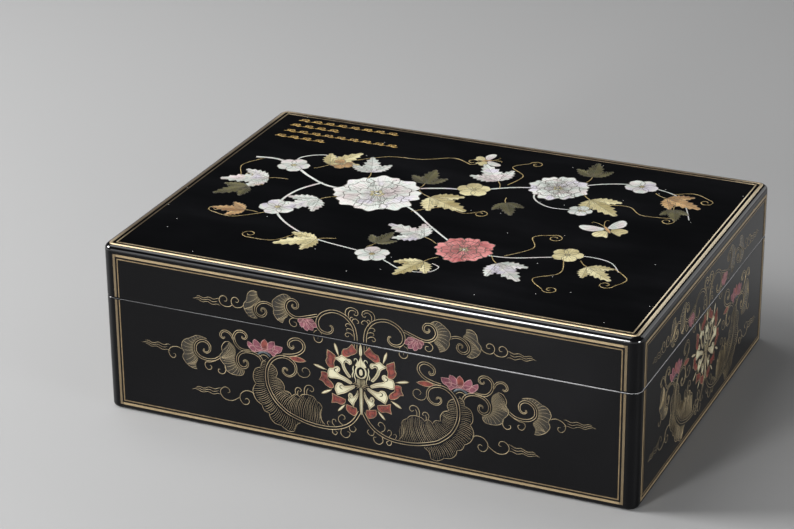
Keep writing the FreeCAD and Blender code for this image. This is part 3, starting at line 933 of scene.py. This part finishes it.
def curve_piece(name, lines, cyclic=False):
    """A curve object, in millimetres, alone in the selection, from (points, radius) lines; a
    line that isn't a ring thins out to its ends."""
    bpy.ops.object.select_all(action="DESELECT")
    bpy.ops.curve.primitive_bezier_curve_add()
    piece = bpy.context.object
    piece.name = name
    piece.data.splines.clear()
    for points, radius in lines:
        spline = piece.data.splines.new("POLY")
        spline.points.add(len(points) - 1)
        last = len(points) - 1
        for index, (x, z) in enumerate(points):
            near_end = min(index, last - index)
            spline.points[index].co = (x, z, 0, 1)
            spline.points[index].radius = radius if cyclic else radius * min(1, 0.45 + 0.3 * near_end)
        spline.use_cyclic_u = cyclic
    return piece


def to_mesh(piece, paint):
    """Turn a curve into a mesh with one paint."""
    bpy.ops.object.convert(target="MESH")
    piece.data.materials.clear()
    piece.data.materials.append(paint.material)
    return piece


def brush_lines(name, lines, paint, base, height=paint_height):
    """Low rounded lines of paint on the plane, from (points, width) pairs."""
    piece = curve_piece(name, [(points, width / 2) for points, width in lines])
    piece.data.dimensions = "3D"
    piece.data.bevel_depth = 1
    piece.data.bevel_resolution = 0
    piece.data.use_fill_caps = True
    to_mesh(piece, paint)
    for point in piece.data.vertices:
        lift = (point.co.z > in_the_plane) - (point.co.z < -in_the_plane)
        point.co.z = (base + height * lift) / MM
    return piece


def flat_plate(name, outline, paint, layer):
    """A flat patch of paint, as high as its layer and as deep below the face."""
    piece = curve_piece(name, [(outline, 1)], True)
    piece.data.dimensions = "2D"
    piece.data.fill_mode = "BOTH"
    piece.data.extrude = 0.5 * layer * layer_step / MM + 0.01
    to_mesh(piece, paint)
    return piece


def join(name, pieces):
    """Several meshes made one."""
    bpy.ops.object.select_all(action="DESELECT")
    for piece in pieces:
        piece.select_set(True)
    bpy.context.view_layer.objects.active = pieces[0]
    if len(pieces) > 1:
        bpy.ops.object.join()
    pieces[0].name = name
    return pieces[0]


def wash_patch(name, washes):
    """Thin strips of wash from each rib to its edge, thick at the rib and faint at the edge."""
    pieces = []
    for rib, edge in washes:
        bpy.ops.object.select_all(action="DESELECT")
        bpy.ops.mesh.primitive_grid_add(x_subdivisions=3, y_subdivisions=len(rib) - 1, size=1)
        piece = bpy.context.object
        share = piece.data.attributes.new("gold_share", "FLOAT", "POINT")
        for index, vertex in enumerate(piece.data.vertices):
            row, column = divmod(index, 4)
            vertex.co = (*between(rib[row], edge[row], column / 3), wash_height)
            share.data[index].value = wash_shares[column]
        pieces.append(piece)
    patch = join(name, pieces)
    patch.data.materials.append(gold_wash.material)
    return patch


def stand_on(piece, side, body):
    """Stand a drawing up on one side of the case and fix it to its body."""
    out = case_width if side in ("left", "right") else case_depth
    upright = Matrix.Rotation(math.radians(90), 4, "X")
    turned = Matrix.Rotation(math.radians(90) * SIDES.index(side), 4, "Z")
    outward = Matrix.Translation((0, -out / 2, 0))
    piece.data.transform(turned @ outward @ upright @ Matrix.Scale(MM, 4))
    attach(piece, body)


def lay_out(painting, prefix):
    """Make the pieces of one painting, flat: lines by paint, washes, and plates by paint."""
    pieces = []
    for paint in sorted({stroke[2] for stroke in painting.strokes}):
        lines = [(points, width) for points, width, kind in painting.strokes if kind == paint]
        raised = 0 if paint == "gold" else 3 * layer_step
        name = prefix + "_" + paint + "_lines"
        pieces.append((brush_lines(name, lines, PAINTS[paint], raised), paint))
    if painting.washes:
        pieces.append((wash_patch(prefix + "_gold_wash", painting.washes), "gold"))
    for paint in sorted({plate[1] for plate in painting.plates}):
        plates = [flat_plate(paint, outline, PAINTS[paint], layer)
                  for outline, kind, layer in painting.plates if kind == paint]
        pieces.append((join(prefix + "_" + paint + "_patches", plates), paint))
    return pieces


def copy_of(piece, name):
    """A second piece with its own mesh."""
    double = piece.copy()
    double.data = piece.data.copy()
    double.name = name
    bpy.context.collection.objects.link(double)
    return double


medallion_plates = []
for pair, squeeze in ((("front", "back"), 1.0), (("right", "left"), 0.94)):
    lid_painting, base_painting = Painting(squeeze), Painting(squeeze)
    paint_lid_side(lid_painting)
    paint_base_side(base_painting, pair[0] == "front")
    paint_medallion(base_painting)
    for body, painting in (("lid", lid_painting), ("base", base_painting)):
        for piece, paint in lay_out(painting, body + "_" + pair[0]):
            slot = "gold_line" if paint == "gold" else "coloured_lacquer"
            twin = copy_of(piece, piece.name.replace(pair[0], pair[1]))
            stand_on(piece, pair[0], body)
            stand_on(twin, pair[1], body)
            if "cream_patches" in piece.name:
                medallion_plates += [piece, twin]
for plate in medallion_plates:
    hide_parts("base_medallions")

# ---------------------------------------------------------------------------
# Lid picture: a spray of peony and plum blossom with two butterflies, cut from
# white, yellow, olive, tan and coral shell and let into the lacquer, its veins
# engraved. Tendrils and four rows of small clouds are drawn in gold.
# ---------------------------------------------------------------------------
random.seed(21)
picture_plates = []
picture_lines = []
picture_height = 0.05 * MM


def shell_finish(name, shade, light, sheen):
    """Polished shell: a leaf is grooved out from its midrib and darker on one half, a petal
    is grooved from its foot to its rim, painted darker at its foot as shade and paler at
    its rim as highlight, cloudy bright patches are partly painted highlight, and the
    painted sheen drifts pink and green."""
    shell = Finish(name)
    across, along, fanned, tint = [shell.add("Attribute", {"attribute_name": word}, output="Fac")
                                   for word in ("across", "along", "fanned", "tint")]
    leafy = 3.4 * (along - 1.2 * abs(across))
    spread = 40 * across / (along + 5)
    groove = leafy * (1 - fanned) + spread * fanned
    streaks = 0.5 + 0.5 * groove.math("SINE", groove + 9 * shell.noise(70, 3) + 30 * tint)
    # Painted light in the shell's brightness: the cloudy patches stand partly for highlights, and a
    # petal is darker at its foot as painted shade and paler toward its rim as a painted highlight.
    glow = shell.noise(120, 2) + 0.35 * tint - 0.45 * streaks ** 3.0
    glow = glow - 0.28 * across.over(0) * (1 - fanned) + fanned * (0.02 * along - 0.28)
    body = shell.mix(1.5 * glow - 0.2, shade, light)
    hues = [(0.32, (0.98, 0.74, 0.80)), (0.43, light), (0.51, (0.74, 0.93, 0.86)), (0.57, light),
            (0.68, (0.80, 0.72, 1.0))]
    drift = shell.add("ValToRGB", {"stops": hues}, {"Fac": shell.noise(75, 2)})
    shell.set(Base_Color=shell.mix(sheen, body, drift), Metallic=0.05,
              Roughness=0.16 + 0.2 * streaks, Normal=shell.bump(streaks, 0.3, 0.05 * MM))
    return shell


for colour, shade, light, sheen in (("white", (0.36, 0.34, 0.30), (1.0, 0.98, 0.93), 0.38),
                                    ("yellow", (0.40, 0.32, 0.13), (1.0, 0.91, 0.54), 0.04),
                                    ("olive", (0.05, 0.045, 0.018), (0.22, 0.20, 0.09), 0.02),
                                    ("tan", (0.26, 0.13, 0.05), (0.84, 0.55, 0.26), 0.03),
                                    ("coral", (0.46, 0.11, 0.11), (1.0, 0.40, 0.38), 0.03)):
    PAINTS[colour + "_shell"] = shell_finish(colour + "_shell", shade, light, sheen)
PAINTS["ochre"] = lacquer_paint("ochre_paint", (0.28, 0.16, 0.03), (0.62, 0.40, 0.11))
PAINTS["vine"] = lacquer_paint("vine_paint", (0.22, 0.15, 0.05), (0.60, 0.45, 0.19))

etching = Finish("etching")
etching.set(Base_Color=etching.mix(etching.noise(80, 2), (0.05, 0.045, 0.035), (0.11, 0.099, 0.077)),
            Roughness=0.4)
PAINTS["etching"] = etching


def polar(centre, angle, distance):
    """The place at a distance from a centre, by an angle in degrees."""
    return (centre[0] + distance * math.cos(math.radians(angle)),
            centre[1] + distance * math.sin(math.radians(angle)))


def curl(centre, radius, start, turns, inner=0.25):
    """Places on a spiral that winds in towards its centre."""
    count = max(6, round(abs(turns) * 12))
    shares = [index / count for index in range(count + 1)]
    return [polar(centre, start + 360 * turns * share, radius * (1 - (1 - inner) * share))
            for share in shares]


def cut_plate(outline, paint, layer, angle, rim=0.36, root=None):
    """One plate of shell with its rim engraved; it is a petal if its root is named."""
    picture_plates.append((outline, paint, layer, angle, root))
    picture_lines.append((list(outline) + [outline[0]], rim, "etching", layer))


def fan_petal(centre, angle, length, spread, paint, layer):
    """A broad ruffled petal with veins that spread from its foot."""
    phase = random.uniform(0, 6.28)
    outline = [polar(centre, angle, 0.1 * length), polar(centre, angle - 0.36 * spread, 0.5 * length)]
    for index in range(21):
        share = index / 10 - 1
        ruffle = 0.045 * math.sin(8.5 * share + phase)
        outline.append(polar(centre, angle + 0.5 * spread * share,
                             length * (1 - 0.24 * abs(share) ** 2.4 + ruffle)))
    outline.append(polar(centre, angle + 0.36 * spread, 0.5 * length))
    cut_plate(outline, paint, layer, angle, 0.55, centre)
    for share in (-0.66, -0.33, 0, 0.33, 0.66):
        far = random.uniform(0.74, 0.88)
        line = [polar(centre, angle + 0.4 * spread * share, 0.34 * length),
                polar(centre, angle + 0.46 * spread * share, 0.6 * length),
                polar(centre, angle + 0.46 * spread * share + random.uniform(-2, 2), far * length)]
        picture_lines.append((line, 0.34, "etching", layer))


def peony(centre, size, paint, turned):
    """A full peony: three rings of ruffled petals round a knot of stamens."""
    for ring, (count, reach, spread) in enumerate(((8, 1.0, 60), (6, 0.72, 72), (6, 0.44, 70))):
        for number in range(count):
            angle = turned + 360 * number / count + 23 * ring
            fan_petal(centre, angle, size * reach * random.uniform(0.93, 1.04), spread, paint,
                      1 + 2 * ring + number % 2)
    for number in range(9):
        spot = polar(centre, 40 * number, size * (0.09 if number % 2 else 0.14))
        cut_plate([polar(spot, 60 * part, 0.045 * size) for part in range(6)], "yellow_shell", 7, 0)


def plum(centre, size, paint, turned):
    """A plum blossom: five round petals and fine stamens with gold heads."""
    for number in range(5):
        angle = turned + 72 * number
        middle = polar(centre, angle, 0.56 * size)
        outline = [polar(middle, angle + 24 * part, 0.47 * size * (0.9 if part == 0 else 1))
                   for part in range(15)]
        cut_plate(outline, paint, 1 + number % 2 + 2 * (number == 4), angle, 0.4, centre)
    for number in range(10):
        angle = turned + 36 * number + 18
        picture_lines.append(([centre, polar(centre, angle, 0.42 * size)], 0.2, "etching", 4))
    cut_plate([polar(centre, 45 * part, 0.17 * size) for part in range(8)], "yellow_shell", 4, 0)


def leaflet(root, angle, length, width, paint, layer):
    """A pointed leaf with a toothed edge, a midrib and side veins."""
    sides = []
    for sign in (1, -1):
        for step in range(1, 12):
            share = step / 12
            swell = math.sin(math.pi * share ** 0.78) ** 0.85 * (1.04 if step % 2 else 0.7)
            rib = polar(root, angle, (share + (0.05 if step % 2 else 0)) * length)
            sides.append((sign * step, polar(rib, angle + 90 * sign, 0.5 * width * swell)))
    left = [spot for step, spot in sides if step > 0]
    right = [spot for step, spot in sides if step < 0]
    tip = polar(root, angle, length)
    cut_plate([root] + left + [tip] + right[::-1], paint, layer, angle)
    picture_lines.append(([root, tip], 0.5, "etching", layer))
    for step in (2, 4, 6, 8):
        foot = polar(root, angle, length * (step - 1) / 12)
        for side in (left, right):
            picture_lines.append(([foot, between(foot, side[step], 0.8)], 0.4, "etching", layer))


def spray_leaf(root, angle, length, paint):
    """A peony leaf: a long middle leaflet over two short ones."""
    leaflet(root, angle - 46, 0.68 * length, 0.36 * length, paint, 1)
    leaflet(root, angle + 46, 0.68 * length, 0.36 * length, paint, 1)
    leaflet(root, angle, length, 0.46 * length, paint, 2)
    tendril([polar(root, angle + 168, 0.42 * length), polar(root, angle + 176, 0.2 * length), root])


def tendril(points, width=0.6, paint="vine"):
    """A line drawn in one stroke."""
    picture_lines.append((smooth(points), width, paint, 0))


def twig(points, width):
    """A stem of white shell that thins to its end."""
    line = smooth(points, 1.5)
    count = len(line) - 1
    left, right = [], []
    for index, spot in enumerate(line):
        ahead, behind = line[min(index + 1, count)], line[max(index - 1, 0)]
        heading = math.degrees(math.atan2(ahead[1] - behind[1], ahead[0] - behind[0]))
        half = 0.5 * width * (1 - 0.65 * index / count)
        left.append(polar(spot, heading + 90, half))
        right.append(polar(spot, heading - 90, half))
    picture_plates.append((left + right[::-1], "white_shell", 0, 0, None))


def butterfly(centre, angle, size):
    """A butterfly with spread wings, seen from above."""
    for sign in (1, -1):
        fore = [polar(centre, angle + sign * turned, size * reach) for turned, reach in
                ((10, 0.12), (38, 0.62), (48, 1.0), (58, 1.06), (72, 0.9), (88, 0.6), (96, 0.2))]
        hind = [polar(centre, angle + sign * turned, size * reach) for turned, reach in
                ((95, 0.16), (98, 0.52), (112, 0.74), (130, 0.78), (146, 0.66), (160, 0.74),
                 (164, 0.5), (166, 0.2))]
        cut_plate(smooth(hind, 1.2), "yellow_shell", 1, angle + 130 * sign, root=centre)
        cut_plate(smooth(fore, 1.2), "white_shell", 2, angle + 60 * sign, root=centre)
        for turned, foot, reach, layer in (
                (46, 0.25, 0.86, 2), (58, 0.25, 0.9, 2), (72, 0.25, 0.76, 2),
                (112, 0.2, 0.62, 1), (130, 0.2, 0.66, 1), (150, 0.2, 0.56, 1)):
            vein = [polar(centre, angle + sign * turned, share * size) for share in (foot, reach)]
            picture_lines.append((vein, 0.22, "etching", layer))
        tip = polar(centre, angle + 17 * sign, 0.86 * size)
        tendril([polar(centre, angle, 0.3 * size), polar(centre, angle + 9 * sign, 0.6 * size), tip,
                 polar(tip, angle + 120 * sign, 0.1 * size)], 0.4)
    body = [polar(polar(centre, angle, 0.34 * size * math.cos(math.radians(30 * part))),
                  angle + 90, 0.07 * size * math.sin(math.radians(30 * part))) for part in range(12)]
    cut_plate(body, "tan_shell", 3, angle)


def cloud(centre, width):
    """A small cloud scroll: two curls and a trailing line."""
    x, y = centre
    for sign, size in ((1, 0.26), (-1, 0.2)):
        tendril(curl((x + sign * 0.2 * width, y + 0.04 * width), size * width, 200 if sign > 0 else -20,
                     -0.95 * sign), 0.95, "ochre")
    tendril([(x - 0.55 * width, y - 0.2 * width), (x - 0.1 * width, y - 0.12 * width),
             (x + 0.3 * width, y - 0.26 * width), (x + 0.62 * width, y - 0.16 * width)], 0.95, "ochre")


twig([(-152, 40), (-138, 42), (-122, 36), (-104, 22), (-84, 12), (-52, 12.7), (-22, -2), (4, -26),
      (33, -48), (60, -50), (84, -40), (104, -30), (122, -32), (132, -44)], 2.0)
twig([(-52, 12), (-36, 27), (-16, 37), (3, 42), (26, 56), (52, 66), (78, 84), (100, 90), (124, 84),
      (136, 70), (146, 48)], 1.9)
twig([(-92, 16), (-102, -4), (-102, -31), (-86, -52), (-58, -68), (-15, -77), (10, -90), (26, -88),
      (30, -79), (24, -75)], 1.8)
twig([(-122, 36), (-124, 50), (-112, 60), (-96, 58), (-92, 50)], 1.4)
twig([(40, 62), (44, 44), (58, 34), (76, 36)], 1.4)

peony((-52, 12.7), 30, "white_shell", 12)
peony((52, 65.4), 20, "white_shell", 40)
peony((33.7, -48.5), 19, "coral_shell", 0)
for spot, size, paint in (((-122.4, 36), 11, "white_shell"), ((-101, -31.7), 12, "white_shell"),
                          ((3, 42.2), 11, "yellow_shell"), ((101, 88.6), 11, "white_shell"),
                          ((94.9, -31.7), 10, "yellow_shell"), ((-15.3, -76), 11, "white_shell"),
                          ((78, 36), 8, "white_shell"), ((-94, 50), 8, "tan_shell")):
    plum(spot, size, paint, random.uniform(0, 72))
for root, angle, length, paint in (
        ((-101, 46), 66, 24, "yellow"), ((-128, 10), 204, 26, "white"), ((-82, -10), 236, 25, "white"),
        ((-18, 20), -24, 27, "yellow"), ((12, 62), 128, 25, "white"), ((78, 55), -38, 25, "yellow"),
        ((66, 92), 100, 20, "olive"), ((122, 76), -20, 22, "tan"), ((4, -40), 160, 25, "white"),
        ((18, -74), 250, 22, "yellow"), ((60, -60), -42, 24, "white"), ((112, -44), -36, 20, "yellow"),
        ((-134, -8), 230, 20, "olive"), ((-56, -68), 216, 23, "yellow"), ((-70, 44), 112, 22, "white"),
        ((-20, -60), 80, 16, "olive"), ((-118, -44), 190, 18, "tan"), ((30, 30), -60, 17, "olive"),
        ((-30, 40), 96, 20, "olive"), ((132, 60), -70, 15, "olive")):
    spray_leaf(root, angle, 1.22 * length, paint + "_shell")
for points in ([(-88, 60), (-70, 74), (-48, 78), (-30, 88), (-16, 82)] + curl((-16, 87), 5, -90, 1.2),
               [(20, 58), (24, 76), (12, 88), (20, 98)] + curl((25, 98), 5, 180, -1.2),
               [(86, 50), (104, 54), (116, 44), (134, 46)] + curl((134, 41), 5, 90, -1.3),
               [(124, 84), (136, 90), (148, 84)] + curl((147, 79), 5, 80, -1.2),
               [(60, -48), (72, -30), (66, -14), (78, -6)] + curl((79, -11), 5, 95, -1.3),
               [(94, -36), (100, -58), (88, -72), (98, -84)] + curl((103, -83), 5, 190, 1.3),
               [(128, -40), (140, -52), (136, -64)] + curl((131, -64), 5, 0, -1.2),
               [(-100, -38), (-120, -56), (-136, -54)] + curl((-136, -49), 5, -90, -1.2),
               [(-70, -62), (-80, -80), (-98, -82)] + curl((-98, -77), 5, -90, -1.2),
               [(-146, 40), (-154, 24), (-148, 10)] + curl((-143, 10), 5, 180, 1.1),
               [(-20, -6), (-4, 8), (12, 4), (22, 12)] + curl((22, 7), 5, 90, -1.2)):
    tendril(points)
butterfly((104, 14), 128, 17)
butterfly((-8, 92), 30, 12)
for height, start, count in ((113, -151, 8), (103, -153, 4), (92.5, -152, 9), (82, -154, 4)):
    for number in range(count):
        cloud((start + 9.4 * number, height), 7.6)

picture_pieces = []
for paint in sorted({line[2] for line in picture_lines}):
    drawn = []
    for layer in sorted({line[3] for line in picture_lines if line[2] == paint}):
        lines = [line[:2] for line in picture_lines if line[2:] == (paint, layer)]
        raised = (layer + 1) * layer_step / 2
        drawn.append(brush_lines(paint, lines, PAINTS[paint], raised, picture_height))
    picture_pieces.append(join("lid_picture_" + paint, drawn))
for paint in sorted({plate[1] for plate in picture_plates}):
    plates = []
    for order, (outline, kind, layer, angle, root) in enumerate(picture_plates):
        if kind != paint:
            continue
        own_height = layer + order % 23 / 30
        plate = flat_plate(paint, outline, PAINTS[paint], own_height)
        lean = math.radians(angle)
        tint = random.random()
        foot = root or outline[0]
        spots = [(point.co.x - foot[0], point.co.y - foot[1]) for point in plate.data.vertices]
        for word, values in (("across", [y * math.cos(lean) - x * math.sin(lean) for x, y in spots]),
                             ("along", [x * math.cos(lean) + y * math.sin(lean) for x, y in spots]),
                             ("fanned", [1.0 if root else 0.0] * len(spots)),
                             ("tint", [tint] * len(spots))):
            plate.data.attributes.new(word, "FLOAT", "POINT").data.foreach_set("value", values)
        plates.append(plate)
    picture_pieces.append(join("lid_picture_" + paint, plates))
for piece in picture_pieces:
    piece.data.transform(Matrix.Translation((0, 0, lid_top)) @ Matrix.Scale(MM, 4))
    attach(piece, "lid")
    if "shell" in piece.name:
        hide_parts("lid_picture_inlay")

# ---------------------------------------------------------------------------
# Inside: four tile drawers and the counters tray, of thin boards under satin red
# lacquer that is rubbed thin along their rims, and red felt on every floor.
# ---------------------------------------------------------------------------
trays = [side + "_drawer" for side in ("lower_left", "lower_right", "upper_left", "upper_right")]
for tray in trays + ["counters_tray"]:
    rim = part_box(tray + "_left_wall")[1].z
    red_lacquer = Finish(tray + "_lacquer")
    height = red_lacquer.parts(red_lacquer.place())[2]
    grain = red_lacquer.noise(30, 5, (0.4, 9, 9))
    cloudy = red_lacquer.noise(26, 3)
    fine = red_lacquer.noise(900, 2)
    worn = height.over(rim - 1.1 * MM) * red_lacquer.noise(60, 4).over(0.55)
    red = red_lacquer.mix(0.6 * cloudy + 0.4 * grain, (0.085, 0.009, 0.006), (0.22, 0.032, 0.019))
    red = red_lacquer.mix(0.75 * worn, red, (0.24, 0.115, 0.055))
    red_lacquer.set(Base_Color=red, Roughness=0.24 + 0.16 * cloudy + 0.2 * worn,
                    Normal=red_lacquer.bump(grain + 0.12 * fine, 0.22, 0.3 * MM))
    boards = [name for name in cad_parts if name.startswith(tray) and "felt" not in name]
    repaint(red_lacquer, *boards)

felt = Finish("felt")
fibre = felt.noise(1500, 4, (1, 1, 3))
matted = felt.noise(120, 3)
faded = felt.noise(18, 3)
red = felt.mix(0.35 * faded + 0.4 * matted + 0.25 * fibre, (0.05, 0.005, 0.007), (0.20, 0.024, 0.028))
felt.set(Base_Color=red, Roughness=0.95, Normal=felt.bump(0.6 * fibre + 0.4 * matted, 0.6, 0.5 * MM),
         Sheen_Weight=0.06, Sheen_Roughness=0.6)
repaint(felt, *[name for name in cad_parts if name.endswith("_felt")])

bpy.context.scene.view_settings.view_transform = "Standard"
